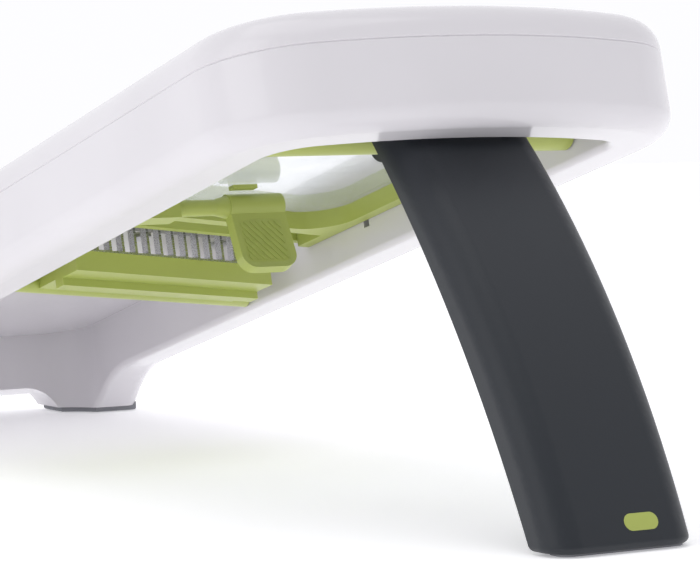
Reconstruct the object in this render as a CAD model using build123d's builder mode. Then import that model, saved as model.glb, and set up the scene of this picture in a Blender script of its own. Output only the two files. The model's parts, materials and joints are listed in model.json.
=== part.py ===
"""Mandoline slicer on a folding leg: white body, adjustable clear ramp, slanted blade and julienne comb.

The origin is on the table, under the middle of the slicer. +Z is up, +X points to the handle end, where
the leg stands, and +Y completes the right-handed frame.
Most sizes are set square to the sloping deck: "station" is the distance from the handle tip towards the
feet, and "rise" is the height above the seam between the body's two halves. All sizes are millimetres.
"""
import os
from math import cos, radians, sin, sqrt, tan

from build123d import *

# ---- Body ---------------------------------------------------------------------------------------
body_length = 410.0          # handle tip to rear end, along the deck
body_width = 141.0
deck_tilt = radians(14.1)
tip_height = 126.9           # seam height over the table at the handle tip
base_depth = 22.9            # seam down to the lip
cover_height = 10.0          # seam up to the top of the rim
arm_width = 18.3             # one side arm, outside to inside
wall = 2.5
handle_bow = 14.6            # how far the handle end bulges past its corners
rear_bow = 6.0
handle_corner = 31.0
rear_corner = 24.0
inner_rear_corner = 16.0
shoulder = 9.0               # rounding of the cover's top edge
lip_round = 7.0              # rounding of the base's lower outer edge
lip_inner_round = 2.2
rear_lip_round = 4.0
seam_bevel = 0.35
handle_deck_length = 58.3    # closed deck between the handle tip and the runway
runway_edge_round = 3.5

# ---- Rear feet ----------------------------------------------------------------------------------
flare_station = 350.0        # where the arm's underside starts to curve down into the foot
foot_flare = 46.0            # radius of that hollow curve
foot_inner = 41.0            # foot's inner edge at the rear bar, from mid width
arch_run = 12.0              # hollow curve from the foot up to the rear bar's underside
arch_rise = 7.7
rear_pad_proud = 1.8         # rubber below the foot
rear_pad_socket = 1.2
rear_pad_inset = 1.6
rear_pad_round = 0.8          # round the edge on the table
rear_screw_station = 388.0

# ---- Leg and its axle ---------------------------------------------------------------------------
leg_reach = 57.0             # foot's front edge, ahead of the handle tip
leg_half_width = 22.8        # level with the handle tip
leg_foot_half_width = 21.3   # on the table
leg_sole_depth = 12.0        # front to back on the table
leg_front_bow = 6.2          # bulge of the front face over its length
leg_back_bow = 4.4
leg_entry = 19.4             # station of the leg's front face at the lip
leg_back_entry = 31.0        # station of the leg's back face, level with leg_back_entry_rise
leg_back_entry_rise = -20.5
leg_corner = 8.0
leg_skin_wall = 2.2          # soft-touch skin
leg_core_wall = 2.0          # stiff inner channel
leg_floor = 4.5              # closed end over the sole
leg_room_reach = 30.0        # the room's blank runs this far past the leg's faces
leg_room_lead = 8.0          # and this far towards the tip at the top
leg_room_front_drop = 3.0    # closed end under the base, at the leg's front
leg_room_back_drop = 9.0     # and at its back
leg_pad_proud = 0.5
leg_pad_thickness = 1.8
leg_pad_inset = 2.0
leg_pad_corner = 3.0
leg_toe_round = 1.6
leg_toe_allowance = 1.0        # part of the sharp front corner that the toe rounding takes away
leg_tongue_half_width = 7.5  # tongue from the leg's head back to the axle
axle_station = 51.0
axle_rise = -13.0
axle_radius = 5.4            # green cross axle
axle_end_gap = 0.5           # axle shoulder to the base's inner wall
axle_pin_radius = 2.5
axle_pin_bite = 4.5          # length of steel pin inside the axle's end
leg_hub_radius = 7.5
running_gap = 0.05           # radial gap of a pin that turns
badge_length = 10.0
badge_width = 4.5
badge_height = 7.0           # over the table
badge_offset = 4.5           # to +Y of the leg's middle
badge_depth = 0.8
badge_proud = 0.15
badge_round = 0.25

# ---- Runway -------------------------------------------------------------------------------------
blade_slant = radians(24.0)
ramp_gap = 0.5               # ramp to each inner wall
slice_thickness = 3.0        # set at rest: blade edge over the ramp
slice_travel = 3.0           # thinner or thicker than at rest
plate_thickness = 3.5
plate_start = 59.3
rail_width = 5.0
rail_depth = 5.5
frame_nose_chamfer = 2.4      # front lower edge, clear of the leg's hub
trailing_edge = 183.5        # station of the ramp's slanted rear edge at mid width
trailing_strip = 3.0
trailing_strip_depth = 3.6
bar_station = 160.0          # front of the slanted bar under the ramp, at mid width
bar_width = 5.0
guide_pin_radius = 1.5
guide_pin_bite = 1.6         # into the inner wall
slot_gap = 0.15
window_corner = 11.0

# ---- Thickness lever ----------------------------------------------------------------------------
lever_station = 140.0
lever_rise = -12.0
lever_half_swing_deg = 30.0
lever_lean = radians(15.0)   # paddle leans to the handle at rest
lever_width = 18.0
lever_offset = -1.0
lever_length = 21.0
lever_thickness = 4.0
lever_hub_radius = 3.8
lever_shaft_radius = 2.4
lever_collar_radius = 3.4
lever_collar_length = 4.0
collar_taper_deg = 14.0
lever_throw = 6.0            # crank radius, slice_travel / sin(half swing)
crank_hub_radius = 3.6
crank_radius = 2.2           # round the pin
crank_thickness = 2.6
crank_gap = 0.2              # crank to the ramp's outer face
crank_room_length = 15.0
bearing_near = 27.0          # bearing block's ends, from mid width
bearing_far = 48.0
bearing_length = 9.0
bearing_depth = 9.0
lever_tip_round = 4.5

# ---- Comb, blade and rear platform --------------------------------------------------------------
comb_front = 196.0           # station of the comb beam's front edge at mid width
comb_rib_place = 10.0        # lower rib, behind the beam's front face
comb_rib_width = 5.0
comb_ridge_start = 5.6       # raised ridge behind the steel strip
comb_ridge_end = 11.0
comb_ridge = 2.0
comb_web = 6.0               # thickness of the web between the beam and its pivot
comb_pivot = 228.0
comb_pivot_rise = -18.0
comb_pin_radius = 2.0
comb_end_gap = 0.8           # pivot bosses to the inner walls
comb_half_length = 43.0
comb_boss_radius = 3.8
tine_pitch = 5.5
tine_count = 15
tine_strip_thickness = 0.8
tine_setback = 0.6           # steel strip behind the beam's front face
tine_strip_width = 4.2
tine_nose = 1.5              # slope at each tine's upper front corner
comb_rib_bottom = -23.8
comb_front_bottom = -21.5
tine_depth = 4.0
tine_thickness = 0.8
tine_top = -3.0
tine_bottom = -16.3
blade_edge = 204.0
blade_back = 224.0
blade_thickness = 1.0
blade_bevel = 4.0
platform_front = 213.0
platform_thickness = 3.0
platform_gap = 0.2
rivet_radius = 2.0
rivet_spacing = 36.0
rivet_station = 218.5
rivet_head_radius = 3.2
rivet_head_height = 0.8

# ---- Screws -------------------------------------------------------------------------------------
screw_radius = 1.4
screw_head_radius = 3.0
screw_head_height = 1.8
screw_boss_radius = 4.0

# ---- Small features inside the base ---------------------------------------------------------------
rabbet_width = 1.4           # shelf in the base's inner wall that carries the platform's rim
ear_station = 27.0
ear_y = 44.0
ear_size = 17.0
ear_thickness = 2.5
foot_sink = 30.0             # how far the feet are drawn past the table before they are cut
stop_top_rise = -14.0
stop_low_rise = -20.0
stop_gap = 0.25
stop_half_width = 9.0
crank_pin_radius = 1.5
rear_screw_grip = 16.0       # base material between the cover and the rear screws' heads
screw_bite = 5.0
lever_stop_depth = 1.1
lever_stop_ahead = 4.0
lever_stop_shift = 4.5
lever_stop_length = 3.0
lever_stop_width = 8.0
cover_boss_radius = 3.6

# ---- Places worked out from the sizes above ---------------------------------------------------------
opening_half = body_width / 2 - arm_width
ramp_half = opening_half - ramp_gap
rear_reach = (
    (body_length - shoulder) * cos(deck_tilt)
    + (cover_height - shoulder) * sin(deck_tilt)
    + shoulder
)
tip_x = (rear_reach - leg_reach) / 2
ramp_top = -slice_thickness
plate_bottom = ramp_top - plate_thickness

deck = Plane(
    origin=(tip_x, 0, tip_height),
    x_dir=(cos(deck_tilt), 0, sin(deck_tilt)),
    z_dir=(-sin(deck_tilt), 0, cos(deck_tilt)),
)
side = Plane(origin=(tip_x, 0, 0), x_dir=(1, 0, 0), z_dir=(0, -1, 0))
end_view = Plane(origin=(tip_x, 0, 0), x_dir=(0, 1, 0), z_dir=(1, 0, 0))
table = Plane(origin=(tip_x, 0, 0))


def deck_side(y):
    """Plane along the deck seen from the -Y side: local x is minus the station, local y is the rise."""
    return Plane(origin=deck.from_local_coords((0, y, 0)), x_dir=deck.x_dir, z_dir=(0, -1, 0))


def from_deck(station, rise):
    """Place of a deck point in the upright side plane."""
    return (
        -station * cos(deck_tilt) - rise * sin(deck_tilt),
        tip_height - station * sin(deck_tilt) + rise * cos(deck_tilt),
    )


def on_slant(station, y):
    """Deck x of a point on the slanted line that crosses mid width at this station."""
    return -(station + y * tan(blade_slant))


# Plane square to the slanted line: local x is the distance ahead of slant_origin, local y is the rise.
slant_origin = comb_front
slant_section = Plane(
    origin=deck.from_local_coords((-slant_origin, 0, 0)),
    x_dir=deck.from_local_coords((cos(blade_slant), sin(blade_slant), 0)) - deck.origin,
    z_dir=deck.from_local_coords((sin(blade_slant), -cos(blade_slant), 0)) - deck.origin,
)


def ahead(station):
    """Distance ahead of slant_origin, square to the slanted line."""
    return (slant_origin - station) * cos(blade_slant)


def slanted_band(front, back, half_width):
    """Outline on the deck between two slanted lines and two straight sides."""
    return [
        (on_slant(front, -half_width), -half_width),
        (on_slant(front, half_width), half_width),
        (on_slant(back, half_width), half_width),
        (on_slant(back, -half_width), -half_width),
    ]


guide_rise = plate_bottom - rail_depth / 2
guide_stations = {-1: (74.0, 118.0), 1: (74.0, 166.0)}
crank_slot_station = lever_station + lever_throw * (1 + cos(radians(lever_half_swing_deg))) / 2
crank_slot_length = (
    lever_throw * (1 - cos(radians(lever_half_swing_deg))) + 2 * (crank_pin_radius + slot_gap)
)
comb_axis_plane = Plane(
    origin=deck.from_local_coords((-comb_pivot, 0, comb_pivot_rise)),
    x_dir=slant_section.x_dir,
    z_dir=slant_section.z_dir,
)
ear_screw_places = [(-ear_station - 1, side_y * (ear_y - 1)) for side_y in (-1, 1)]
rear_screw_places = [(-rear_screw_station, side_y * (body_width - arm_width) / 2) for side_y in (-1, 1)]


def bowed_line(start, end, bow):
    """Centre, radius and middle point of the arc from start to end that bulges towards +X by bow."""
    span = sqrt((end[0] - start[0]) ** 2 + (end[1] - start[1]) ** 2)
    radius = (span**2 / 4 + bow**2) / (2 * bow)
    normal = ((start[1] - end[1]) / span, (end[0] - start[0]) / span)
    chord = ((start[0] + end[0]) / 2, (start[1] + end[1]) / 2)
    centre = (chord[0] + normal[0] * (bow - radius), chord[1] + normal[1] * (bow - radius))
    middle = (chord[0] + normal[0] * bow, chord[1] + normal[1] * bow)
    return centre, radius, middle


leg_top_front = from_deck(leg_entry, -base_depth)
leg_foot_front = (leg_reach + leg_toe_allowance, leg_pad_proud)
leg_foot_back = (leg_reach - leg_sole_depth, leg_pad_proud)
leg_top_back = from_deck(leg_back_entry, leg_back_entry_rise)
leg_centre, leg_radius, leg_front_middle = bowed_line(leg_top_front, leg_foot_front, leg_front_bow)
leg_back_middle = bowed_line(leg_top_back, leg_foot_back, leg_back_bow)[2]
axle_centre = from_deck(axle_station, axle_rise)
hub_top = from_deck(axle_station, axle_rise + leg_hub_radius)
hub_bottom = from_deck(axle_station, axle_rise - leg_hub_radius)


def leg_front_point(rise, gap):
    """Point ahead of the leg's straight upper front face by a gap, at this rise over the deck."""
    out = (
        (leg_top_front[0] - leg_centre[0]) / leg_radius,
        (leg_top_front[1] - leg_centre[1]) / leg_radius,
    )
    along = (-out[1], out[0])
    start = (leg_top_front[0] + out[0] * gap, leg_top_front[1] + out[1] * gap)
    start_rise = -start[0] * sin(deck_tilt) + (start[1] - tip_height) * cos(deck_tilt)
    slope = -along[0] * sin(deck_tilt) + along[1] * cos(deck_tilt)
    distance = (rise - start_rise) / slope
    return (start[0] + along[0] * distance, start[1] + along[1] * distance)


badge_height_angle = (badge_height - leg_centre[1]) / leg_radius
badge_normal = (sqrt(1 - badge_height_angle**2), 0, badge_height_angle)
badge_plane = Plane(
    origin=(
        tip_x + leg_centre[0] + leg_radius * badge_normal[0],
        badge_offset,
        leg_centre[1] + leg_radius * badge_normal[2],
    ),
    x_dir=(0, 1, 0),
    z_dir=badge_normal,
)
with BuildSketch(table.offset(leg_pad_proud)) as leg_pad_outline:
    with Locations((leg_reach - leg_sole_depth / 2, 0)):
        RectangleRounded(
            leg_sole_depth - 2 * leg_pad_inset,
            2 * (leg_foot_half_width - leg_pad_inset - 1),
            leg_pad_corner,
        )
leg_pad_face = leg_pad_outline.sketch.face()
leg_head = leg_front_point(axle_rise + leg_hub_radius, 0)
leg_head_middle = ((leg_head[0] + leg_top_front[0]) / 2, (leg_head[1] + leg_top_front[1]) / 2)
leg_back_head = (leg_head[0] + leg_top_back[0] - leg_top_front[0], leg_head[1])
tongue_root = from_deck(leg_back_entry - 2, leg_back_entry_rise)


# ---- Outlines shared by the body's pieces -------------------------------------------------------------
def body_plan(inset, handle_radius, rear_radius):
    """Plan of the body this far inside its outline, with its corners rounded."""
    with BuildSketch() as plan:
        with BuildLine():
            handle_end = ThreePointArc((-handle_bow, -body_width / 2), (0, 0), (-handle_bow, body_width / 2))
            rear_end = ThreePointArc(
                (-body_length + rear_bow, body_width / 2),
                (-body_length, 0),
                (-body_length + rear_bow, -body_width / 2),
            )
            Line(handle_end @ 1, rear_end @ 0)
            Line(rear_end @ 1, handle_end @ 0)
        make_face()
        if inset:
            offset(amount=-inset, kind=Kind.INTERSECTION, mode=Mode.REPLACE)
        fillet(plan.vertices().group_by(Axis.X)[-1], handle_radius)
        fillet(plan.vertices().group_by(Axis.X)[0], rear_radius)
    return plan.sketch


body_outline = body_plan(0, handle_corner, rear_corner)
opening_outline = body_plan(arm_width, handle_corner - arm_width, inner_rear_corner)

with BuildSketch() as runway_outline:
    add(opening_outline)
    with Locations((-handle_deck_length / 2, 0)):
        Rectangle(handle_deck_length, body_width, mode=Mode.SUBTRACT)


def ring_hollow(outer, inner, top, bottom, corner):
    """Space inside a double-walled ring, with its lower or upper outer corner rounded."""
    with BuildPart() as hollow:
        with BuildSketch(deck.offset(top)):
            add(outer)
            offset(amount=-wall, kind=Kind.INTERSECTION, mode=Mode.REPLACE)
            with BuildSketch(mode=Mode.PRIVATE) as core:
                add(inner)
                offset(amount=wall, kind=Kind.INTERSECTION, mode=Mode.REPLACE)
            add(core.sketch, mode=Mode.SUBTRACT)
        extrude(amount=bottom - top)
        end = hollow.faces().sort_by(Axis(deck.origin, deck.z_dir))
        closed_end = end[0] if bottom < top else end[-1]
        fillet(closed_end.outer_wire().edges(), corner)
    return hollow.part


def platform_plan(margin, front_gap):
    """Plan of the rear platform, with this margin past the opening and this gap at its slanted front."""
    with BuildSketch() as plan:
        add(body_plan(arm_width - margin, handle_corner - arm_width, inner_rear_corner + margin))
        Polygon(
            *slanted_band(-body_length, platform_front + front_gap, body_width),
            align=None,
            mode=Mode.SUBTRACT,
        )
    return plan.sketch


# ---- Base frame --------------------------------------------------------------------------------------
flare_centre = from_deck(flare_station, -base_depth - foot_flare)
flare_top = from_deck(flare_station, -base_depth)
flare_drop = flare_centre[1] + foot_sink
flare_end = (flare_centre[0] - sqrt(foot_flare**2 - flare_drop**2), -foot_sink)
flare_angle = radians(45)
flare_middle_x = flare_centre[0] - foot_flare * sin(deck_tilt + flare_angle / 2)
flare_middle = (flare_middle_x, flare_centre[1] + foot_flare * cos(deck_tilt + flare_angle / 2))
foot_front = flare_centre[0] - sqrt(foot_flare**2 - (flare_centre[1] - rear_pad_proud) ** 2)
arch_radius = (arch_run**2 + arch_rise**2) / (2 * arch_rise)
arch_centre = (foot_inner - arch_run, rear_pad_proud + arch_rise - arch_radius)

# the feet are drawn down past the table, and cut level once their edges are rounded
with BuildPart() as rear_feet:
    with BuildSketch(side):
        with BuildLine():
            ThreePointArc(flare_top, flare_middle, flare_end)
            Polyline(
                flare_end,
                (-2 * body_length, -foot_sink),
                (-2 * body_length, tip_height),
                (flare_top[0], tip_height),
                flare_top,
            )
        make_face()
    extrude(amount=body_width, both=True)
    with BuildSketch(end_view):
        Rectangle(2 * body_width, 2 * tip_height)
        with Locations(arch_centre, (-arch_centre[0], arch_centre[1])):
            Circle(arch_radius, mode=Mode.SUBTRACT)
        with Locations((0, arch_centre[1] + arch_radius - tip_height)):
            Rectangle(2 * arch_centre[0], 2 * tip_height, mode=Mode.SUBTRACT)
        with Locations((0, arch_centre[1] - tip_height)):
            Rectangle(2 * (arch_centre[0] + arch_radius), 2 * tip_height, mode=Mode.SUBTRACT)
    extrude(amount=-2 * body_length, mode=Mode.INTERSECT)
    with BuildSketch(deck.offset(-base_depth / 2)):
        add(body_outline)
        add(opening_outline, mode=Mode.SUBTRACT)
    extrude(amount=-2 * tip_height, mode=Mode.INTERSECT)

# rubber pads: the feet's outline, inset, from the table up into a socket
with BuildPart() as pad_blank:
    with BuildSketch(deck):
        add(body_plan(rear_pad_inset, handle_corner, rear_corner - rear_pad_inset))
        add(
            body_plan(arm_width - rear_pad_inset, handle_corner, inner_rear_corner + rear_pad_inset),
            mode=Mode.SUBTRACT,
        )
    extrude(amount=-2 * tip_height)
    with BuildSketch(side):
        with Locations((foot_front - rear_pad_inset, 0)):
            Rectangle(body_width, rear_pad_proud + rear_pad_socket, align=(Align.MAX, Align.MIN))
    extrude(amount=body_width, both=True, mode=Mode.INTERSECT)
    with BuildSketch(table):
        Rectangle(4 * body_length, 2 * (foot_inner + rear_pad_inset))
    extrude(amount=tip_height, mode=Mode.SUBTRACT)


def lower_edges(body, outside, first_station, last_station):
    """Edges under the outer walls, or under the inner walls, of one half of the body."""
    edges = ShapeList()
    for face in body.faces():
        place = deck.to_local_coords(face.position_at(0.5, 0.5))
        reach = max(abs(place.Y) - body_width / 2, -body_length - place.X, place.X)
        leans = abs(face.normal_at().dot(deck.z_dir)) > 0.01
        on_cut = abs(place.Y) < 0.1
        if leans or on_cut or (reach > -0.6 * arm_width) != outside:
            continue
        for edge in face.edges():
            middle = edge.position_at(0.5)
            station = -deck.to_local_coords(middle).X
            upright = abs(edge.tangent_at(0.5).dot(deck.z_dir)) > 0.999
            below_seam = deck.to_local_coords(middle).Z < -base_depth / 2 - 1
            if below_seam and not upright and middle.Z > 0 and first_station < station < last_station:
                edges.append(edge)
    return edges


base_hollow = ring_hollow(
    body_outline, opening_outline, 0, wall - base_depth, lip_round - wall
)

with BuildPart() as base_frame:
    with BuildSketch(deck):
        add(body_outline)
        add(opening_outline, mode=Mode.SUBTRACT)
    extrude(amount=-base_depth)
    seam_face = base_frame.faces().sort_by(Axis(deck.origin, deck.z_dir))[-1]
    chamfer(seam_face.outer_wire().edges(), seam_bevel)
    add(rear_feet.part)
    # one half is rounded, cut level over the table and mirrored
    split(bisect_by=Plane.XZ, keep=Keep.TOP)
    rear_bar_start = body_length - arm_width - rear_bow
    fillet(lower_edges(base_frame, True, -1, rear_bar_start), lip_round)
    fillet(lower_edges(base_frame, False, -1, rear_bar_start), lip_inner_round)
    rear_edges = lower_edges(base_frame, True, body_length - arm_width / 2, body_length)
    fillet(rear_edges.filter_by(GeomType.CIRCLE), rear_lip_round)
    with BuildSketch(table.offset(rear_pad_proud)):
        Rectangle(4 * body_length, 2 * body_width)
    extrude(amount=-2 * foot_sink, mode=Mode.SUBTRACT)
    mirror(about=Plane.XZ)
    add(base_hollow, mode=Mode.SUBTRACT)
    # shelf for the platform's rim, and ears inside the opening that carry the cover's front screws
    with BuildSketch(deck):
        add(platform_plan(rabbet_width, 0))
    extrude(amount=-platform_thickness, mode=Mode.SUBTRACT)
    with BuildSketch(deck):
        with Locations(*[(-ear_station, side_y * ear_y) for side_y in (-1, 1)]):
            Rectangle(ear_size, ear_size)
    extrude(amount=-ear_thickness)
    # stop that the leg leans on when it stands
    with BuildSketch(side):
        stop_top = from_deck(arm_width - 1, stop_top_rise)
        stop_low = from_deck(arm_width - 1, stop_low_rise)
        with BuildLine():
            Polyline(
                stop_low,
                leg_front_point(stop_low_rise, stop_gap),
                leg_front_point(stop_top_rise, stop_gap),
                stop_top,
                close=True,
            )
        make_face()
    extrude(amount=stop_half_width, both=True)
    # holes for the leg axle's pins
    with BuildSketch(deck_side(0)):
        with Locations((-axle_station, axle_rise)):
            Circle(axle_pin_radius + running_gap)
    extrude(amount=opening_half + wall, both=True, mode=Mode.SUBTRACT)
    # upright slots for the ramp's guide pins, and the level slot for the lever's crank pin
    for slot_side, stations in guide_stations.items():
        with BuildSketch(deck_side(slot_side * opening_half)):
            with Locations(*[(-station, guide_rise) for station in stations]):
                Rectangle(
                    2 * (guide_pin_radius + slot_gap),
                    2 * (guide_pin_radius + slot_gap + slice_travel),
                )
        extrude(amount=wall, both=True, mode=Mode.SUBTRACT)
    with BuildSketch(deck_side(-opening_half)):
        with Locations((-crank_slot_station, lever_rise)):
            Rectangle(crank_slot_length, 2 * (crank_pin_radius + slot_gap))
    extrude(amount=wall, both=True, mode=Mode.SUBTRACT)
    # slanted holes for the comb's pivot pins
    with BuildSketch(comb_axis_plane):
        Circle(comb_pin_radius + running_gap)
    extrude(amount=body_width / 2, both=True, mode=Mode.SUBTRACT)
    # sockets for the rubber feet, and screw holes up into the cover
    add(pad_blank.part, mode=Mode.SUBTRACT)
    with BuildSketch(deck):
        with Locations(*rear_screw_places):
            Circle(screw_boss_radius)
    extrude(amount=wall - base_depth)
    with BuildSketch(deck):
        with Locations(*rear_screw_places, *ear_screw_places):
            Circle(screw_radius)
    extrude(amount=-tip_height, mode=Mode.SUBTRACT)
    with BuildSketch(deck.offset(-rear_screw_grip)):
        with Locations(*rear_screw_places):
            Circle(screw_head_radius + slot_gap)
    extrude(amount=-tip_height, mode=Mode.SUBTRACT)
base_frame.part.label = "base_frame"

# ---- Top cover -------------------------------------------------------------------------------------------
cover_hollow = ring_hollow(
    body_outline, runway_outline.sketch, 0, cover_height - wall, shoulder - wall
)

with BuildPart() as top_cover:
    with BuildSketch(deck):
        add(body_outline)
        add(runway_outline.sketch, mode=Mode.SUBTRACT)
    extrude(amount=cover_height)
    rim = top_cover.faces().sort_by(Axis(deck.origin, deck.z_dir))[-1]
    fillet(rim.outer_wire().edges(), shoulder)
    rim = top_cover.faces().sort_by(Axis(deck.origin, deck.z_dir))[-1]
    fillet(rim.inner_wires()[0].edges(), runway_edge_round)
    seam_face = top_cover.faces().sort_by(Axis(deck.origin, deck.z_dir))[0]
    chamfer(seam_face.outer_wire().edges(), seam_bevel)
    add(cover_hollow, mode=Mode.SUBTRACT)
    with BuildSketch(deck):
        with Locations(*rear_screw_places, *ear_screw_places):
            Circle(cover_boss_radius)
    extrude(amount=cover_height - wall)
    with BuildSketch(deck):
        with Locations(*rear_screw_places, *ear_screw_places):
            Circle(screw_radius)
    extrude(amount=screw_bite, mode=Mode.SUBTRACT)
top_cover.part.label = "top_cover"

# ---- Rear feet's rubber pads ------------------------------------------------------------------------------
rear_pads = {}
for pad_name, pad_side in (("rear_foot_pad_left", -1), ("rear_foot_pad_right", 1)):
    with BuildPart() as rear_foot_pad:
        add(pad_blank.part)
        with BuildSketch(table):
            with Locations((0, -pad_side * body_width)):
                Rectangle(4 * body_length, 2 * body_width)
        extrude(amount=tip_height, mode=Mode.SUBTRACT)
        fillet(rear_foot_pad.edges().group_by(Axis.Z)[0], rear_pad_round)
    rear_foot_pad.part.label = pad_name
    rear_pads[pad_name] = rear_foot_pad.part

# ---- Leg ---------------------------------------------------------------------------------------------------


def leg_sides(inset):
    """Block between the leg's two side faces, which draw in towards the foot."""
    with BuildPart() as block:
        with BuildSketch(end_view.offset(-body_length / 2)):
            Polygon(
                (-leg_foot_half_width + inset, 0),
                (leg_foot_half_width - inset, 0),
                (leg_half_width - inset, tip_height),
                (-leg_half_width + inset, tip_height),
                align=None,
            )
        extrude(amount=body_length)
    return block.part


def leg_room(inset, floor_height, corner):
    """Space inside the leg, this far behind its front face and open at the back."""
    with BuildPart() as room:
        with BuildSketch(side):
            with BuildLine():
                Polyline(
                    (leg_foot_front[0] + leg_room_reach, floor_height),
                    (leg_foot_back[0] - leg_room_reach, floor_height),
                    from_deck(leg_back_entry + leg_room_reach, -base_depth - leg_room_back_drop),
                    from_deck(leg_entry - leg_room_lead, -base_depth - leg_room_front_drop),
                    close=True,
                )
            make_face()
        extrude(amount=body_width, both=True)
        with BuildSketch(side):
            with Locations(leg_centre):
                Circle(leg_radius - inset)
        extrude(amount=body_width, both=True, mode=Mode.INTERSECT)
        add(leg_sides(inset), mode=Mode.INTERSECT)
        front_face = room.faces().sort_by_distance(side.from_local_coords(leg_front_middle))[0]
        fillet(front_face.edges().filter_by(Axis.Y, reverse=True), corner)
    return room.part


skin_room = leg_room(leg_skin_wall, leg_floor, leg_corner - leg_skin_wall)
core_room = leg_room(
    leg_skin_wall + leg_core_wall,
    leg_floor + leg_core_wall,
    leg_corner - leg_skin_wall - leg_core_wall,
)

with BuildPart() as leg_blank:
    with BuildSketch(side):
        with BuildLine():
            ThreePointArc(leg_top_front, leg_front_middle, leg_foot_front)
            Line(leg_foot_front, leg_foot_back)
            ThreePointArc(leg_foot_back, leg_back_middle, leg_top_back)
            Polyline(leg_top_back, leg_back_head, leg_head, leg_top_front)
        make_face()
    extrude(amount=body_width, both=True)
    add(leg_sides(0), mode=Mode.INTERSECT)
    front_face = leg_blank.faces().sort_by_distance(side.from_local_coords(leg_front_middle))[0]
    head_face = leg_blank.faces().sort_by_distance(side.from_local_coords(leg_head_middle))[0]
    front_edges = front_face.edges() + head_face.edges()
    fillet(front_edges.filter_by(Axis.Y, reverse=True), leg_corner)

with BuildPart() as leg_skin:
    add(leg_blank.part)
    add(skin_room, mode=Mode.SUBTRACT)
    with BuildSketch(side):
        with BuildLine():
            Polyline(leg_head_middle, hub_top, hub_bottom, tongue_root, close=True)
        make_face()
        with Locations(axle_centre):
            Circle(leg_hub_radius)
    extrude(amount=leg_tongue_half_width, both=True)
    with BuildSketch(side):
        with Locations(axle_centre):
            Circle(axle_radius)
    extrude(amount=leg_half_width, both=True, mode=Mode.SUBTRACT)
    sole = leg_skin.faces().sort_by(Axis.Z)[0]
    toe_edges = sole.edges()
    fillet(toe_edges, leg_toe_round)
    with BuildSketch(badge_plane):
        SlotOverall(badge_length, badge_width)
    extrude(amount=-badge_depth, mode=Mode.SUBTRACT)
    extrude(leg_pad_face, amount=leg_pad_thickness - leg_pad_proud, dir=(0, 0, 1), mode=Mode.SUBTRACT)
leg_skin.part.label = "leg_skin"

with BuildPart() as leg_core:
    add(skin_room)
    add(core_room, mode=Mode.SUBTRACT)
    add(leg_blank.part, mode=Mode.INTERSECT)
leg_core.part.label = "leg_core"

with BuildPart() as leg_foot_pad:
    extrude(leg_pad_face, amount=leg_pad_thickness - leg_pad_proud, dir=(0, 0, 1))
    extrude(leg_pad_face, amount=leg_pad_proud, dir=(0, 0, -1))
leg_foot_pad.part.label = "leg_foot_pad"

with BuildPart() as leg_badge:
    with BuildSketch(badge_plane.offset(badge_proud)):
        SlotOverall(badge_length, badge_width)
    extrude(amount=-badge_depth - badge_proud)
    fillet(leg_badge.faces().sort_by(Axis(badge_plane.origin, badge_plane.z_dir))[-1].edges(), badge_round)
leg_badge.part.label = "leg_badge"

# Green cross axle that carries the leg, and the steel pins in its ends
with BuildPart() as leg_axle:
    with BuildSketch(side):
        with Locations(axle_centre):
            Circle(axle_radius)
    extrude(amount=opening_half - axle_end_gap, both=True)
    with BuildSketch(side):
        with Locations(axle_centre):
            Circle(axle_pin_radius)
    extrude(amount=opening_half - axle_end_gap, both=True, mode=Mode.SUBTRACT)
    with BuildSketch(side):
        with Locations(axle_centre):
            Circle(axle_pin_radius)
    extrude(amount=opening_half - axle_end_gap - axle_pin_bite, both=True)
leg_axle.part.label = "leg_axle"

with BuildPart() as leg_axle_pins:
    with BuildSketch(side):
        with Locations(axle_centre):
            Circle(axle_pin_radius)
    extrude(amount=opening_half + wall, both=True)
    with BuildSketch(side):
        with Locations(axle_centre):
            Circle(axle_pin_radius + 1)
    extrude(amount=opening_half - axle_end_gap - axle_pin_bite, both=True, mode=Mode.SUBTRACT)
leg_axle_pins.part.label = "leg_axle_pins"

# ---- Ramp ----------------------------------------------------------------------------------------------------
with BuildPart() as ramp_plate:
    with BuildSketch(deck.offset(ramp_top)):
        Polygon(
            (-plate_start, -ramp_half),
            (-plate_start, ramp_half),
            (on_slant(trailing_edge, ramp_half), ramp_half),
            (on_slant(trailing_edge, -ramp_half), -ramp_half),
            align=None,
        )
    extrude(amount=-plate_thickness)
ramp_plate.part.label = "ramp_plate"

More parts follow.
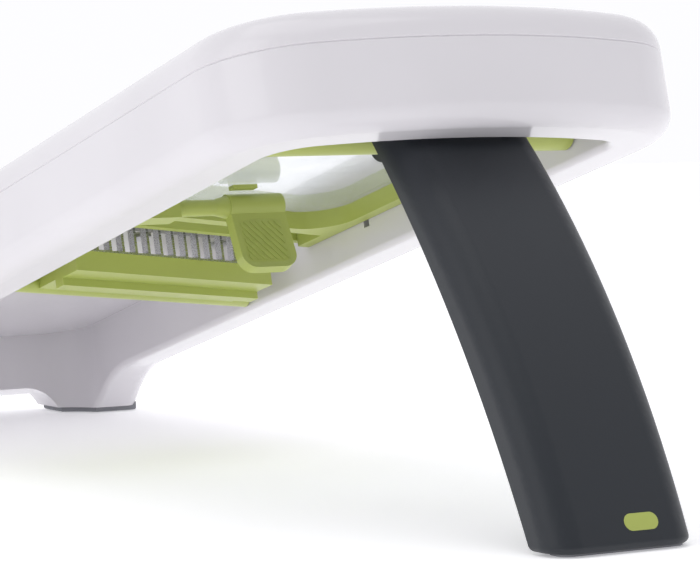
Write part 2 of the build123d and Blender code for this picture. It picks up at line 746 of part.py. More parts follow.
with BuildPart() as ramp_frame:
    with BuildSketch(deck.offset(plate_bottom)):
        Polygon(
            (-plate_start, -ramp_half),
            (-plate_start, ramp_half),
            (on_slant(trailing_edge, ramp_half), ramp_half),
            (on_slant(trailing_edge, -ramp_half), -ramp_half),
            align=None,
        )
    extrude(amount=-rail_depth)
    # the front lower edge clears the folded leg's hub when the ramp is at its lowest
    chamfer(
        ramp_frame.edges().filter_by(Axis.Y).group_by(Axis.X)[-1].sort_by(Axis.Z)[0],
        frame_nose_chamfer,
    )
    # the window under the clear plate
    with BuildSketch(deck.offset(plate_bottom)) as window:
        Polygon(
            (-plate_start - rail_width, -ramp_half + rail_width),
            (-plate_start - rail_width, ramp_half - rail_width),
            (on_slant(bar_station, ramp_half - rail_width), ramp_half - rail_width),
            (on_slant(bar_station, rail_width - ramp_half), rail_width - ramp_half),
            align=None,
        )
        fillet(window.vertices().group_by(Axis.X)[0], window_corner)
    extrude(amount=-rail_depth, mode=Mode.SUBTRACT)
    # the gap between the slanted bar and the trailing strip
    with BuildSketch(deck.offset(plate_bottom)):
        Polygon(
            *slanted_band(bar_station + bar_width, trailing_edge - trailing_strip, ramp_half - rail_width),
            align=None,
        )
    extrude(amount=-rail_depth, mode=Mode.SUBTRACT)
    # the trailing strip is shallower than the rails
    with BuildSketch(deck.offset(plate_bottom - trailing_strip_depth)):
        Polygon(
            *slanted_band(trailing_edge - trailing_strip, trailing_edge + 1, ramp_half + 1),
            align=None,
        )
    extrude(amount=-rail_depth, mode=Mode.SUBTRACT)
    # block that carries the lever's shaft
    with BuildSketch(deck.offset(plate_bottom)):
        with Locations((-lever_station, -(bearing_near + bearing_far) / 2)):
            Rectangle(bearing_length, bearing_far - bearing_near)
    extrude(amount=-bearing_depth)
    # room for the crank between the block and the inner wall
    with BuildSketch(deck.offset(plate_bottom)):
        with Locations((-lever_station - lever_throw / 2, -(bearing_far + ramp_half) / 2 - 1)):
            Rectangle(crank_room_length, ramp_half - bearing_far + 2)
    extrude(amount=-2 * rail_depth, mode=Mode.SUBTRACT)
    with BuildSketch(deck_side(0)):
        with Locations((-lever_station, lever_rise)):
            Circle(lever_shaft_radius + running_gap)
    extrude(amount=ramp_half, mode=Mode.SUBTRACT)
    # guide pins that run in the base's slots
    for slot_side, stations in guide_stations.items():
        with BuildSketch(deck_side(slot_side * (ramp_half - 1))):
            with Locations(*[(-station, guide_rise) for station in stations]):
                Circle(guide_pin_radius)
        extrude(amount=-slot_side * (1 + ramp_gap + guide_pin_bite))
ramp_frame.part.label = "ramp_frame"

# ---- Thickness lever -----------------------------------------------------------------------------------------
lever_plane = Plane(
    origin=deck.from_local_coords((-lever_station, lever_offset, lever_rise)),
    x_dir=deck.from_local_coords((cos(lever_lean), 0, sin(lever_lean))) - deck.origin,
    z_dir=(0, -1, 0),
)
with BuildPart() as thickness_lever:
    with BuildSketch(lever_plane):
        Circle(lever_hub_radius)
        with Locations((0, -lever_length / 2)):
            Rectangle(lever_thickness, lever_length)
    extrude(amount=lever_width / 2, both=True)
    tip = thickness_lever.faces().sort_by(Axis(lever_plane.origin, lever_plane.y_dir))[0]
    fillet(tip.edges().filter_by(Axis.Y, reverse=True), lever_tip_round)
    with BuildSketch(deck_side(lever_offset)):
        with Locations((-lever_station, lever_rise)):
            Circle(lever_shaft_radius)
    extrude(amount=lever_offset + ramp_half - crank_gap)
    with BuildSketch(deck_side(lever_offset - lever_width / 2)):
        with Locations((-lever_station, lever_rise)):
            Circle(lever_collar_radius)
    extrude(amount=lever_collar_length, taper=collar_taper_deg)
thickness_lever.part.label = "thickness_lever"

with BuildPart() as lever_crank:
    with BuildSketch(deck_side(crank_gap - ramp_half)):
        with BuildLine():
            CenterArc((-lever_station, lever_rise), crank_hub_radius, 0, 360)
            CenterArc((-lever_station - lever_throw, lever_rise), crank_radius, 0, 360)
        make_hull()
        with Locations((-lever_station, lever_rise)):
            Circle(lever_shaft_radius, mode=Mode.SUBTRACT)
    extrude(amount=-crank_thickness)
    with BuildSketch(deck_side(crank_gap - ramp_half)):
        with Locations((-lever_station - lever_throw, lever_rise)):
            Circle(crank_pin_radius)
    extrude(amount=crank_gap + ramp_gap + wall)
lever_crank.part.label = "lever_crank"

# small stop on the plate's underside that limits the lever
with BuildPart() as lever_stop:
    with BuildSketch(deck.offset(plate_bottom)):
        with Locations((lever_stop_ahead - lever_station, lever_offset - lever_stop_shift)):
            Rectangle(lever_stop_length, lever_stop_width)
    extrude(amount=-lever_stop_depth)
lever_stop.part.label = "lever_stop"

# ---- Comb ------------------------------------------------------------------------------------------------------
comb_shelf = tine_bottom + 1     # top of the front bar, where the steel strip lies
comb_back = (comb_pivot - comb_front) * cos(blade_slant)
with BuildPart() as comb_beam:
    with BuildSketch(slant_section):
        with BuildLine():
            Polyline(
                (0, comb_shelf),
                (0, comb_front_bottom),
                (-comb_rib_place, comb_front_bottom),
                (-comb_rib_place, comb_rib_bottom),
                (-comb_rib_place - comb_rib_width, comb_rib_bottom),
                (-comb_rib_place - comb_rib_width, comb_pivot_rise - comb_web / 2),
                (-comb_back, comb_pivot_rise - comb_web / 2),
                (-comb_back, comb_pivot_rise + comb_web / 2),
                (-comb_ridge_end, comb_shelf + comb_ridge),
                (-comb_ridge_start, comb_shelf + comb_ridge),
                (-comb_ridge_start, comb_shelf),
                close=True,
            )
        make_face()
    extrude(amount=body_width, both=True)
    with BuildSketch(deck):
        Polygon(*slanted_band(0, body_length, comb_half_length), align=None)
    extrude(amount=-2 * base_depth, mode=Mode.INTERSECT)
    with BuildPart(mode=Mode.PRIVATE) as comb_barrel:
        with BuildSketch(comb_axis_plane):
            Circle(comb_boss_radius)
        extrude(amount=body_width, both=True)
        with BuildSketch(deck):
            with Locations((-comb_pivot, 0)):
                Rectangle(body_length, 2 * (opening_half - comb_end_gap))
        extrude(amount=-2 * base_depth, mode=Mode.INTERSECT)
    add(comb_barrel.part)
    with BuildSketch(comb_axis_plane):
        Circle(comb_pin_radius)
    extrude(amount=body_width, both=True, mode=Mode.SUBTRACT)
comb_beam.part.label = "comb_beam"

# steel rod that the comb turns on
with BuildPart() as comb_rod:
    with BuildSketch(comb_axis_plane):
        Circle(comb_pin_radius)
    extrude(amount=body_width, both=True)
    with BuildSketch(deck):
        with Locations((-comb_pivot, 0)):
            Rectangle(body_length / 2, 2 * (opening_half + wall))
    extrude(amount=-2 * base_depth, mode=Mode.INTERSECT)
comb_rod.part.label = "comb_rod"

# upright steel blades that cut the slices into sticks, in one fold-over strip
with BuildPart() as comb_blades:
    for tine in range(tine_count):
        tine_y = (tine - (tine_count - 1) / 2) * tine_pitch
        tine_plane = Plane(
            origin=deck.from_local_coords((on_slant(comb_front + tine_setback, tine_y), tine_y, 0)),
            x_dir=deck.x_dir,
            z_dir=(0, -1, 0),
        )
        with BuildSketch(tine_plane):
            with BuildLine():
                Polyline(
                    (0, comb_shelf),
                    (0, tine_top - tine_nose),
                    (-tine_nose, tine_top),
                    (-tine_depth, tine_top),
                    (-tine_depth, comb_shelf),
                    close=True,
                )
            make_face()
        extrude(amount=tine_thickness / 2, both=True)
    with BuildSketch(deck.offset(comb_shelf)):
        Polygon(
            *slanted_band(
                comb_front + tine_setback,
                comb_front + tine_setback + tine_strip_width,
                (tine_count - 1) / 2 * tine_pitch + tine_thickness,
            ),
            align=None,
        )
    extrude(amount=tine_strip_thickness)
comb_blades.part.label = "comb_blades"

# ---- Blade and rear platform -------------------------------------------------------------------------------------
rivet_places = [(on_slant(rivet_station, y), y) for y in (-rivet_spacing, 0, rivet_spacing)]

with BuildPart() as main_blade:
    with BuildSketch(slant_section):
        with BuildLine():
            Polyline(
                (ahead(blade_edge), -blade_thickness),
                (ahead(blade_edge + blade_bevel), 0),
                (ahead(blade_back), 0),
                (ahead(blade_back), -blade_thickness),
                close=True,
            )
        make_face()
    extrude(amount=body_width, both=True)
    with BuildSketch(deck):
        with Locations((-blade_edge, 0)):
            Rectangle(body_length / 2, 2 * (opening_half - platform_gap))
    extrude(amount=-base_depth, mode=Mode.INTERSECT)
    with BuildSketch(deck):
        with Locations(*rivet_places):
            Circle(rivet_radius)
    extrude(amount=-base_depth, mode=Mode.SUBTRACT)
main_blade.part.label = "main_blade"

with BuildPart() as rear_platform:
    with BuildSketch(deck):
        add(platform_plan(rabbet_width - platform_gap, platform_gap))
    extrude(amount=-platform_thickness)
    with BuildSketch(deck):
        Polygon(
            *slanted_band(platform_front - 1, blade_back, opening_half - platform_gap / 2),
            align=None,
        )
    extrude(amount=-blade_thickness, mode=Mode.SUBTRACT)
    with BuildSketch(deck):
        with Locations(*rivet_places):
            Circle(rivet_radius)
    extrude(amount=-platform_thickness, mode=Mode.SUBTRACT)
rear_platform.part.label = "rear_platform"

with BuildPart() as blade_rivets:
    with BuildSketch(deck):
        with Locations(*rivet_places):
            Circle(rivet_radius)
    extrude(amount=-platform_thickness)
    with BuildSketch(deck.offset(-platform_thickness)):
        with Locations(*rivet_places):
            Circle(rivet_head_radius)
    extrude(amount=-rivet_head_height)
blade_rivets.part.label = "blade_rivets"


# ---- Screws --------------------------------------------------------------------------------------------------------
def screws(places, head_rise, tip_rise):
    """Pan-head screws driven up into the body, square to the deck."""
    with BuildPart() as group:
        with BuildSketch(deck.offset(head_rise)):
            with Locations(*places):
                Circle(screw_radius)
        extrude(amount=tip_rise - head_rise)
        with BuildSketch(deck.offset(head_rise)):
            with Locations(*places):
                Circle(screw_head_radius)
        extrude(amount=-screw_head_height)
        heads = group.faces().sort_by(Axis(deck.origin, deck.z_dir))[: len(places)]
        fillet(heads.edges(), screw_head_height / 2)
    return group.part


rear_screws = screws(rear_screw_places, -rear_screw_grip, screw_bite)
rear_screws.label = "rear_screws"
front_screws = screws(ear_screw_places, -ear_thickness, screw_bite)
front_screws.label = "front_screws"

# ---- Files ------------------------------------------------------------------------------------------------------------
pieces = [
    base_frame.part,
    top_cover.part,
    rear_platform.part,
    main_blade.part,
    blade_rivets.part,
    comb_beam.part,
    comb_blades.part,
    comb_rod.part,
    ramp_plate.part,
    ramp_frame.part,
    lever_stop.part,
    thickness_lever.part,
    lever_crank.part,
    leg_skin.part,
    leg_core.part,
    leg_axle.part,
    leg_axle_pins.part,
    leg_foot_pad.part,
    leg_badge.part,
    *rear_pads.values(),
    rear_screws,
    front_screws,
]
os.makedirs("parts", exist_ok=True)
for piece in pieces:
    export_step(piece, f"parts/{piece.label}.step")
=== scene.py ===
"""Finishes the mandoline slicer's plastic, steel and soft-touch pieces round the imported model."""

import json
from math import radians

import bmesh
import bpy
from mathutils import Matrix, Vector


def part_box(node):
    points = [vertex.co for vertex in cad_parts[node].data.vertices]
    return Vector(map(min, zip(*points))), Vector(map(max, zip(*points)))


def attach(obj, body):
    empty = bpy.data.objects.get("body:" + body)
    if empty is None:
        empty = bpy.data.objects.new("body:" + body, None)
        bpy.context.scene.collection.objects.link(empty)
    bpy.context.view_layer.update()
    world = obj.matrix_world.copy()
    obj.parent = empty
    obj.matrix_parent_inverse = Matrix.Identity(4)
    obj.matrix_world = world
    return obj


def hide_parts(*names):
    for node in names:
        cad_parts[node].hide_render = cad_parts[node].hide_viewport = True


bl_info = {
    "name": "Mandoline Slicer",
    "version": (1, 0, 0),
    "blender": (4, 5, 0),
    "location": "View3D > Sidebar > Slicer",
    "description": "Finishes the mandoline slicer's moulded, ground and soft-touch pieces",
    "category": "Object",
}

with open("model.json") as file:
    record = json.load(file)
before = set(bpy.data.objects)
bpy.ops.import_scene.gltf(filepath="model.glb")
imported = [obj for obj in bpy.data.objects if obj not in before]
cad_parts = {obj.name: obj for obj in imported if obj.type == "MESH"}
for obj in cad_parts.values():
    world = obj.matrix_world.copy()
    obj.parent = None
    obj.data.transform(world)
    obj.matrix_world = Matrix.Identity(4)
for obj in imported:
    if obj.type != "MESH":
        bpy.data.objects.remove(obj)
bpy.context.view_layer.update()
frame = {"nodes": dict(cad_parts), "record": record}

MM = 0.001
HANDLE_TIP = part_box("top_cover")[1][0]
VIEW = (-0.8669, 0.4957, -0.0523)    # the way the camera looks
SMALL_SHADE_CHANGE = 0.95            # the darker of two drifting shades, as a share of the lighter
FLOW_PATCH = 60 * MM                 # size of the patches in which a moulding's shade drifts
RIB_SLANT = radians(-52)
RIB_LENGTH = 60 * MM                 # before the ribs are cut to the paddle
RIB_MARGIN = 0.8 * MM                # between the ribs and the paddle's rim
BODIES = frame["record"]["behaviour"]["bodies"]
BODY_OF = {node: body for body, nodes in BODIES.items() for node in nodes}


# ---- Colours and nodes ---------------------------------------------------------------------------
def linear(hex_colour):
    """Linear RGBA of an sRGB hex colour."""
    values = [int(hex_colour[i:i + 2], 16) / 255 for i in (1, 3, 5)]
    return [v / 12.92 if v <= 0.04045 else ((v + 0.055) / 1.055) ** 2.4 for v in values] + [1.0]


def add_node(tree, kind, settings=None, inputs=None):
    """Adds a node, sets its options, and fills or links its inputs."""
    node = tree.nodes.new(kind)
    for name, value in (settings or {}).items():
        setattr(node, name, value)
    for name, value in (inputs or {}).items():
        if isinstance(value, bpy.types.NodeSocket):
            tree.links.new(value, node.inputs[name])
        else:
            node.inputs[name].default_value = value
    return node


def new_material(name, values):
    """Material with one Principled shader, whose even values are set on its own sockets."""
    material = bpy.data.materials.new(name)
    material.use_nodes = True
    shader = material.node_tree.nodes["Principled BSDF"]
    for socket, value in values.items():
        shader.inputs[socket].default_value = value
    return material, material.node_tree, shader


def drifting_colour(tree, vector, patch, colour, other, shader):
    """Lets the colour drift between two close shades over patches of a real size."""
    patches = add_node(
        tree, "ShaderNodeTexNoise", inputs={"Vector": vector, "Scale": 1 / patch, "Detail": 2.0}
    )
    ramp = add_node(tree, "ShaderNodeValToRGB", inputs={"Fac": patches.outputs["Fac"]})
    ends = ramp.color_ramp.elements
    ends[0].position, ends[1].position = 0.3, 0.7
    ends[0].color, ends[1].color = (*colour, 1.0), (*other, 1.0)
    tree.links.new(ramp.outputs["Color"], shader.inputs["Base Color"])
    return patches


def uneven_gloss(tree, height, gloss, shader):
    """Varies the roughness between two values with a pattern."""
    spread = add_node(
        tree, "ShaderNodeMapRange", inputs={"Value": height, "To Min": gloss[0], "To Max": gloss[1]}
    )
    tree.links.new(spread.outputs["Result"], shader.inputs["Roughness"])


def raised_grain(tree, height, strength, depth, shader):
    """Raises a pattern a little above the surface."""
    bump = add_node(
        tree, "ShaderNodeBump", inputs={"Height": height, "Strength": strength, "Distance": depth}
    )
    tree.links.new(bump.outputs["Normal"], shader.inputs["Normal"])


def darker(colour, share):
    """The same colour with each channel scaled."""
    return tuple(channel * share for channel in colour[:3])


# ---- Materials -----------------------------------------------------------------------------------
def moulded_plastic(name, colour, gloss, grain, depth, values):
    """Injection-moulded plastic: faint flow shading, mould-texture grain and an uneven gloss."""
    material, tree, shader = new_material(name, values)
    place = add_node(tree, "ShaderNodeTexCoord").outputs["Object"]
    shade = darker(colour, SMALL_SHADE_CHANGE)
    patches = drifting_colour(tree, place, FLOW_PATCH, colour, shade, shader)
    fine = add_node(
        tree, "ShaderNodeTexNoise", inputs={"Vector": place, "Scale": 1 / grain, "Detail": 3.0}
    )
    smear = add_node(
        tree, "ShaderNodeMix",
        inputs={"Factor": 0.35, "A": fine.outputs["Fac"], "B": patches.outputs["Fac"]},
    )
    uneven_gloss(tree, smear.outputs["Result"], gloss, shader)
    raised_grain(tree, fine.outputs["Fac"], 0.4, depth, shader)
    return material


def white_abs(finish):
    """White body shells."""
    # Injection-moulded ABS from a polished tool: bright, wet-looking white that mirrors what is
    # near it, with the slight waviness of a thin moulded wall.
    return moulded_plastic(
        "white_abs_polished_moulding", finish.body_white, (0.12, 0.22), finish.polish_wave, 0.008 * MM,
        {"IOR": 1.53},
    )


def green_abs(finish):
    """Green handles, bars and frame."""
    # Injection-moulded ABS from a spark-eroded tool: even satin green with a fine pebbled grain.
    return moulded_plastic(
        "green_abs_spark_textured", finish.leaf_green, (0.34, 0.46), finish.tool_grain, 0.02 * MM,
        {"IOR": 1.53},
    )


def slate_soft_touch(finish):
    """Skin of the leg."""
    # Thermoplastic elastomer moulded over a stiff core: satin slate grey that lightens at a grazing
    # angle.
    return moulded_plastic(
        "slate_soft_touch_elastomer", finish.leg_slate, (0.38, 0.52), finish.tool_grain, 0.03 * MM,
        {"IOR": 1.48, "Sheen Weight": 0.06, "Sheen Roughness": 0.5},
    )


def black_nylon(finish):
    """Stiff core of the leg."""
    # Glass-filled nylon: dull near-black with short fibres just under the surface.
    return moulded_plastic(
        "black_glass_filled_nylon", linear("#26272a")[:3], (0.5, 0.68), 0.6 * MM, 0.04 * MM,
        {"IOR": 1.53},
    )


def grey_rubber(finish):
    """Pads under the feet."""
    # Moulded thermoplastic rubber: matt grey.
    return moulded_plastic(
        "grey_moulded_rubber", finish.pad_grey, (0.62, 0.8), finish.tool_grain, 0.05 * MM, {"IOR": 1.5}
    )


def clear_styrene(finish):
    """See-through ramp plate."""
    # Clear moulded styrene-acrylonitrile: almost colourless, polished, faint flow lines.
    material, tree, shader = new_material(
        "clear_styrene_moulding", {"IOR": 1.56, "Transmission Weight": 1.0}
    )
    place = add_node(tree, "ShaderNodeTexCoord").outputs["Object"]
    flow = drifting_colour(tree, place, 14 * MM, linear("#f7fafb")[:3], linear("#eef3f6")[:3], shader)
    uneven_gloss(tree, flow.outputs["Fac"], (0.03, 0.09), shader)
    raised_grain(tree, flow.outputs["Fac"], 0.15, 0.1 * MM, shader)
    return material


def steel(name, colour, gloss, spacing, along):
    """Stainless steel with fine straight tool marks, long in one direction."""
    material, tree, shader = new_material(name, {"Metallic": 1.0})
    place = add_node(tree, "ShaderNodeTexCoord").outputs["Object"]
    stretched = add_node(tree, "ShaderNodeMapping", inputs={"Vector": place, "Scale": along})
    marks = add_node(
        tree, "ShaderNodeTexNoise",
        inputs={"Vector": stretched.outputs["Vector"], "Scale": 1 / spacing, "Detail": 2.0},
    )
    drifting_colour(tree, place, 25 * MM, colour, darker(colour, 0.9), shader)
    uneven_gloss(tree, marks.outputs["Fac"], gloss, shader)
    raised_grain(tree, marks.outputs["Fac"], 0.1, 0.004 * MM, shader)
    return material


def ground_blade_steel(finish):
    """Slicing blade and fins."""
    # Martensitic stainless strip, ground and honed: bright grey with straight grinding lines. Real
    # lines are under 0.05 mm apart, so these are drawn coarser to show.
    return steel(
        "ground_blade_steel", finish.blade_steel, (0.2, 0.34), finish.grinding_lines, (1.0, 0.05, 1.0)
    )


def turned_pin_steel(finish):
    """Rod, pins, rivets and screws."""
    # Drawn and turned stainless wire: duller than the blade, marks run round the section.
    return steel(
        "turned_pin_steel", darker(finish.blade_steel, 0.85), (0.3, 0.42), finish.grinding_lines,
        (1.0, 0.2, 1.0),
    )


# ---- Settings ------------------------------------------------------------------------------------
def colour_setting(name, description, hex_colour):
    return bpy.props.FloatVectorProperty(
        name=name, description=description, subtype="COLOR", size=3, min=0.0, max=1.0,
        default=linear(hex_colour)[:3],
    )


def length_setting(name, description, default, low, high):
    return bpy.props.FloatProperty(
        name=name, description=description, subtype="DISTANCE", unit="LENGTH", precision=5,
        default=default, min=low, max=high,
    )


class SlicerFinish(bpy.types.PropertyGroup):
    """Colours of the slicer's materials and the scale of their surface."""

    body_white: colour_setting("Body white", "Glossy plastic of the frame and cover", "#e4e1e5")
    leaf_green: colour_setting("Leaf green", "Plastic of the lever, comb and ramp frame", "#b0bb5e")
    leg_slate: colour_setting("Leg slate", "Soft-touch skin of the folding leg", "#20252c")
    pad_grey: colour_setting("Pad grey", "Rubber pads under the feet", "#8b8c91")
    blade_steel: colour_setting("Blade steel", "Ground stainless steel", "#c8c9cb")
    polish_wave: length_setting(
        "Polish wave", "Spacing of the faint waviness of the glossy shells", 3 * MM, 0.5 * MM, 20 * MM
    )
    tool_grain: length_setting(
        "Tool grain", "Spacing of the pebbled grain on satin pieces", 0.6 * MM, 0.1 * MM, 5 * MM
    )
    grinding_lines: length_setting(
        "Grinding lines", "Spacing of the lines on the steel", 0.35 * MM, 0.05 * MM, 2 * MM
    )
    paddle_rim: length_setting(
        "Paddle rim", "Width of the raised rim of the lever's paddle", 1.8 * MM, 0, 5 * MM
    )
    paddle_sink: length_setting(
        "Paddle sink", "Depth of the paddle's face below its rim", 0.5 * MM, 0, 2 * MM
    )
    rib_spacing: length_setting(
        "Rib spacing", "Spacing of the slanted ribs on the paddle", 1.6 * MM, 0.5 * MM, 5 * MM
    )
    crease: bpy.props.FloatProperty(
        name="Crease", description="Edges sharper than this stay crisp", subtype="ANGLE",
        unit="ROTATION",
        default=radians(28), min=radians(5), max=radians(90),
    )


class SlicerStage(bpy.types.PropertyGroup):
    """Floor, lights and camera."""

    floor_colour: colour_setting("Floor", "Opal sheet under the slicer", "#ffffff")
    floor_glow: bpy.props.FloatProperty(
        name="Floor glow", description="Strength of the light that comes up through the floor",
        default=0.3, min=0.0, max=5.0,
    )
    floor_half: length_setting("Floor half width", "Half the side of the square floor", 6.0, 0.5, 50.0)
    sky: bpy.props.FloatProperty(
        name="Sky", description="Strength of the light from behind the slicer", default=1.05,
        min=0.0, max=10.0,
    )
    front_sky: bpy.props.FloatProperty(
        name="Front sky", description="Strength of the light from the camera's side", default=0.5,
        min=0.0, max=10.0,
    )
    overhead: bpy.props.FloatProperty(
        name="Overhead", description="Power of the softbox above", subtype="POWER", unit="POWER",
        default=5.0, min=0.0, max=500.0,
    )
    left_fill: bpy.props.FloatProperty(
        name="Left fill", description="Power of the softbox on the left", subtype="POWER", unit="POWER",
        default=4.0, min=0.0, max=500.0,
    )
    focal_length: bpy.props.FloatProperty(
        name="Lens", description="Focal length of the camera", subtype="DISTANCE_CAMERA",
        unit="CAMERA", default=152.4, min=20.0, max=400.0,
    )


# ---- Building ------------------------------------------------------------------------------------
def merged_copy(node, crease):
    """Copy of a node's mesh with its loose triangles joined, so that curved faces shade smoothly."""
    mesh = frame["nodes"][node].data.copy()
    mesh.name = node + "_surface"
    shape = bmesh.new()
    shape.from_mesh(mesh)
    bmesh.ops.remove_doubles(shape, verts=shape.verts, dist=0.002 * MM)
    for face in shape.faces:
        face.smooth = True
    for edge in shape.edges:
        edge.smooth = len(edge.link_faces) == 2 and edge.calc_face_angle() < crease
    shape.to_mesh(mesh)
    shape.free()
    return mesh


def place_piece(context, name, mesh, material, node):
    """Makes an object of a mesh, shades it evenly, and gives it the node's body and slot."""
    mesh.materials.clear()
    mesh.materials.append(material)
    piece = bpy.data.objects.new(name, mesh)
    context.scene.collection.objects.link(piece)
    shading = piece.modifiers.new("even_shading", "WEIGHTED_NORMAL")
    shading.keep_sharp = True
    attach(piece, BODY_OF[node])
    return piece


def finish_nodes(context, nodes, material_maker):
    """Gives each node its smooth surface, its material, its body and its slot."""
    finish = context.scene.slicer_finish
    material = material_maker(finish)
    for node in nodes:
        mesh = merged_copy(node, finish.crease)
        piece = place_piece(context, node + "_piece", mesh, material, node)
        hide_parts(node)


def aimed(location, direction, roll=0.0):
    """World matrix at a place, looking along a direction and rolled about it."""
    turn = Vector(direction).to_track_quat("-Z", "Y").to_matrix().to_4x4()
    return Matrix.Translation(location) @ turn @ Matrix.Rotation(roll, 4, "Z")


def softbox(context, name, location, size, power):
    """Rectangular area light aimed at the middle of the slicer."""
    light = bpy.data.lights.new(name, "AREA")
    light.shape = "RECTANGLE"
    light.size, light.size_y = size
    light.energy = power
    lamp = bpy.data.objects.new(name, light)
    lamp.matrix_world = aimed(location, -Vector(location))
    context.scene.collection.objects.link(lamp)


# ---- Operators -----------------------------------------------------------------------------------
class SLICER_OT_body(bpy.types.Operator):
    """Finishes the frame, the cover and the rear platform in glossy white"""

    bl_idname = "slicer.body"
    bl_label = "White Body"

    def execute(self, context):
        finish_nodes(context, ["base_frame", "top_cover", "rear_platform"], white_abs)
        return {"FINISHED"}


class SLICER_OT_lever(bpy.types.Operator):
    """Finishes the thickness lever, with a raised rim and slanted grip ribs on its paddle"""

    bl_idname = "slicer.lever"
    bl_label = "Thickness Lever"

    def execute(self, context):
        finish = context.scene.slicer_finish
        mesh = merged_copy("thickness_lever", finish.crease)
        shape = bmesh.new()
        shape.from_mesh(mesh)
        bmesh.ops.dissolve_limit(shape, angle_limit=radians(1), verts=shape.verts, edges=shape.edges)
        face = max((f for f in shape.faces if f.normal.x > 0.5), key=lambda f: f.calc_area())
        bmesh.ops.inset_region(
            shape, faces=[face], thickness=finish.paddle_rim, depth=-finish.paddle_sink,
            use_even_offset=True,
        )
        middle, normal = face.calc_center_median(), face.normal.copy()
        across = Vector((0, 1, 0))
        up = normal.cross(across).normalized()
        spread_across = [(v.co - middle).dot(across) for v in face.verts]
        spread_up = [(v.co - middle).dot(up) for v in face.verts]
        reach = (min(spread_across), max(spread_across), min(spread_up), max(spread_up))
        axes = Matrix((across, up, normal)).transposed().to_4x4()
        ribs = bmesh.new()
        count = int((reach[1] - reach[0] + reach[3] - reach[2]) / finish.rib_spacing)
        for number in range(count):
            slide = (number - (count - 1) / 2) * finish.rib_spacing
            turn = Matrix.Rotation(RIB_SLANT, 4, "Z") @ Matrix.Translation((0, slide, 0))
            size = Matrix.Diagonal((RIB_LENGTH, finish.rib_spacing / 2, finish.paddle_sink, 1.0))
            bmesh.ops.create_cube(ribs, size=1.0, matrix=turn @ size)
        for outward, limit in (
            ((-1, 0, 0), -reach[0]), ((1, 0, 0), reach[1]),
            ((0, -1, 0), -reach[2]), ((0, 1, 0), reach[3]),
        ):
            cut = bmesh.ops.bisect_plane(
                ribs, geom=ribs.verts[:] + ribs.edges[:] + ribs.faces[:],
                plane_co=Vector(outward) * (limit - RIB_MARGIN), plane_no=outward, clear_outer=True,
            )
            loops = [e for e in cut["geom_cut"] if isinstance(e, bmesh.types.BMEdge)]
            bmesh.ops.holes_fill(ribs, edges=loops, sides=0)
        bmesh.ops.transform(ribs, matrix=Matrix.Translation(middle) @ axes, verts=ribs.verts)
        bmesh.ops.recalc_face_normals(ribs, faces=ribs.faces)
        for side in shape.faces:
            side.smooth = True
        shape.to_mesh(mesh)
        shape.free()
        rib_mesh = bpy.data.meshes.new("lever_ribs")
        ribs.to_mesh(rib_mesh)
        ribs.free()
        material = green_abs(finish)
        lever = place_piece(context, "thickness_lever_piece", mesh, material, "thickness_lever")
        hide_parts("thickness_lever")
        place_piece(context, "lever_grip_ribs", rib_mesh, material, "thickness_lever")
        return {"FINISHED"}


class SLICER_OT_green_parts(bpy.types.Operator):
    """Finishes the crank, the stop, the comb beam, the ramp frame and the axle in green"""

    bl_idname = "slicer.green_parts"
    bl_label = "Green Parts"

    def execute(self, context):
        nodes = ["ramp_frame", "lever_stop", "lever_crank", "comb_beam", "leg_axle",
                 "leg_badge"]
        finish_nodes(context, nodes, green_abs)
        return {"FINISHED"}


class SLICER_OT_ramp_plate(bpy.types.Operator):
    """Finishes the see-through plate of the ramp"""

    bl_idname = "slicer.ramp_plate"
    bl_label = "Clear Ramp Plate"

    def execute(self, context):
        finish_nodes(context, ["ramp_plate"], clear_styrene)
        return {"FINISHED"}


class SLICER_OT_blades(bpy.types.Operator):
    """Finishes the slicing blade and the fins in ground steel"""

    bl_idname = "slicer.blades"
    bl_label = "Blades"

    def execute(self, context):
        finish_nodes(context, ["main_blade", "comb_blades"], ground_blade_steel)
        return {"FINISHED"}


class SLICER_OT_fasteners(bpy.types.Operator):
    """Finishes the rod, pins, rivets and screws in turned steel"""

    bl_idname = "slicer.fasteners"
    bl_label = "Fasteners"

    def execute(self, context):
        nodes = ["blade_rivets", "comb_rod", "leg_axle_pins", "rear_screws", "front_screws"]
        finish_nodes(context, nodes, turned_pin_steel)
        return {"FINISHED"}


class SLICER_OT_leg(bpy.types.Operator):
    """Finishes the folding leg's soft skin and its stiff core"""

    bl_idname = "slicer.leg"
    bl_label = "Leg"

    def execute(self, context):
        finish_nodes(context, ["leg_skin"], slate_soft_touch)
        finish_nodes(context, ["leg_core"], black_nylon)
        return {"FINISHED"}


class SLICER_OT_pads(bpy.types.Operator):
    """Finishes the rubber pads under the leg and the rear feet"""

    bl_idname = "slicer.pads"
    bl_label = "Foot Pads"

    def execute(self, context):
        nodes = ["leg_foot_pad", "rear_foot_pad_left", "rear_foot_pad_right"]
        finish_nodes(context, nodes, grey_rubber)
        return {"FINISHED"}


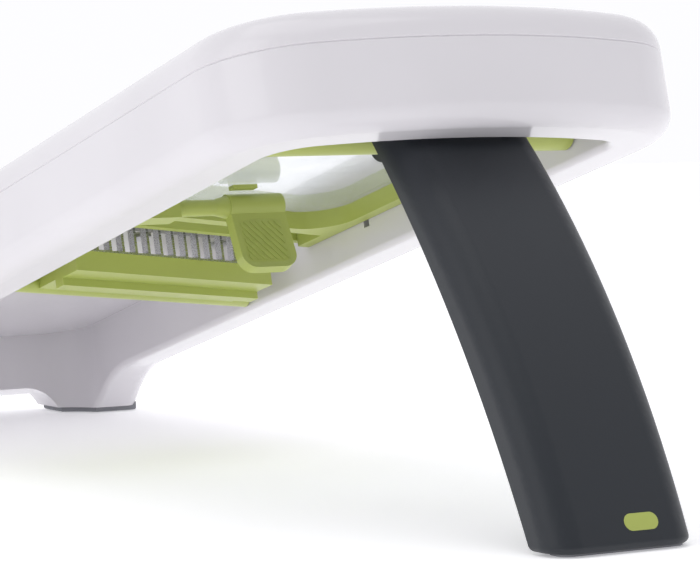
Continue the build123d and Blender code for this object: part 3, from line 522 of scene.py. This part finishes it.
class SLICER_OT_stage(bpy.types.Operator):
    """Lays the pale floor, and sets up the softboxes, the even sky and the camera"""

    bl_idname = "slicer.stage"
    bl_label = "Stage"

    def execute(self, context):
        stage = context.scene.slicer_stage
        shape = bmesh.new()
        bmesh.ops.create_grid(shape, x_segments=1, y_segments=1, size=stage.floor_half)
        bmesh.ops.translate(shape, verts=shape.verts, vec=(0, 0, -0.2 * MM))
        mesh = bpy.data.meshes.new("floor")
        shape.to_mesh(mesh)
        shape.free()
        # Opal acrylic sheet lit from below: even white, with only pale shadows on it.
        sheet, tree, shader = new_material(
            "opal_acrylic_light_table",
            {
                "Roughness": 0.9,
                "Emission Color": linear("#fbfbff"),
                "Emission Strength": stage.floor_glow,
            },
        )
        place = add_node(tree, "ShaderNodeTexCoord").outputs["Object"]
        drifting_colour(
            tree, place, 400 * MM, stage.floor_colour, darker(stage.floor_colour, 0.99), shader
        )
        mesh.materials.append(sheet)
        floor = bpy.data.objects.new("floor", mesh)
        context.scene.collection.objects.link(floor)

        world = bpy.data.worlds.new("studio")
        context.scene.world = world
        world.use_nodes = True
        sky = world.node_tree.nodes["Background"]
        sky.inputs["Color"].default_value = linear("#f8f8fb")
        direction = add_node(world.node_tree, "ShaderNodeTexCoord").outputs["Generated"]
        towards = add_node(
            world.node_tree, "ShaderNodeVectorMath", {"operation": "DOT_PRODUCT"},
            {0: direction, 1: VIEW},
        )
        shade = add_node(
            world.node_tree, "ShaderNodeMapRange",
            inputs={"Value": towards.outputs["Value"], "From Min": -0.8, "From Max": 0.8,
                    "To Min": stage.front_sky, "To Max": stage.sky},
        )
        world.node_tree.links.new(shade.outputs["Result"], sky.inputs["Strength"])
        context.scene.view_settings.view_transform = "Standard"
        softbox(context, "overhead_softbox", (0.2, -0.3, 1.4), (1.6, 1.2), stage.overhead)
        softbox(context, "left_softbox", (0.3, -1.6, 0.8), (1.2, 1.2), stage.left_fill)

        lens = bpy.data.cameras.new("camera")
        lens.lens = stage.focal_length
        lens.sensor_width = 36.0
        lens.clip_start = 0.01
        camera = bpy.data.objects.new("camera", lens)
        camera.matrix_world = aimed((HANDLE_TIP + 0.6419, -0.4113, 0.1027), VIEW, roll=-0.0177)
        context.scene.collection.objects.link(camera)
        context.scene.camera = camera
        return {"FINISHED"}


class SLICER_PT_sidebar(bpy.types.Panel):
    """Lists the slicer's pieces and settings"""

    bl_label = "Mandoline Slicer"
    bl_space_type = "VIEW_3D"
    bl_region_type = "UI"
    bl_category = "Slicer"

    def draw(self, context):
        for settings in (context.scene.slicer_finish, context.scene.slicer_stage):
            box = self.layout.box()
            for name in settings.__annotations__:
                box.prop(settings, name)
        for operator in OPERATORS:
            self.layout.operator(operator.bl_idname)


OPERATORS = (
    SLICER_OT_stage,
    SLICER_OT_body,
    SLICER_OT_lever,
    SLICER_OT_green_parts,
    SLICER_OT_ramp_plate,
    SLICER_OT_blades,
    SLICER_OT_fasteners,
    SLICER_OT_leg,
    SLICER_OT_pads,
)
CLASSES = (SlicerFinish, SlicerStage, *OPERATORS, SLICER_PT_sidebar)


def register():
    for each in CLASSES:
        bpy.utils.register_class(each)
    bpy.types.Scene.slicer_finish = bpy.props.PointerProperty(type=SlicerFinish)
    bpy.types.Scene.slicer_stage = bpy.props.PointerProperty(type=SlicerStage)


def unregister():
    del bpy.types.Scene.slicer_stage
    del bpy.types.Scene.slicer_finish
    for each in reversed(CLASSES):
        bpy.utils.unregister_class(each)


def main():
    """Builds every piece and the stage."""
    register()
    bpy.ops.slicer.stage()
    bpy.ops.slicer.body()
    bpy.ops.slicer.lever()
    bpy.ops.slicer.green_parts()
    bpy.ops.slicer.ramp_plate()
    bpy.ops.slicer.blades()
    bpy.ops.slicer.fasteners()
    bpy.ops.slicer.leg()
    bpy.ops.slicer.pads()
    bpy.context.view_layer.update()


if __name__ == "__main__":
    main()
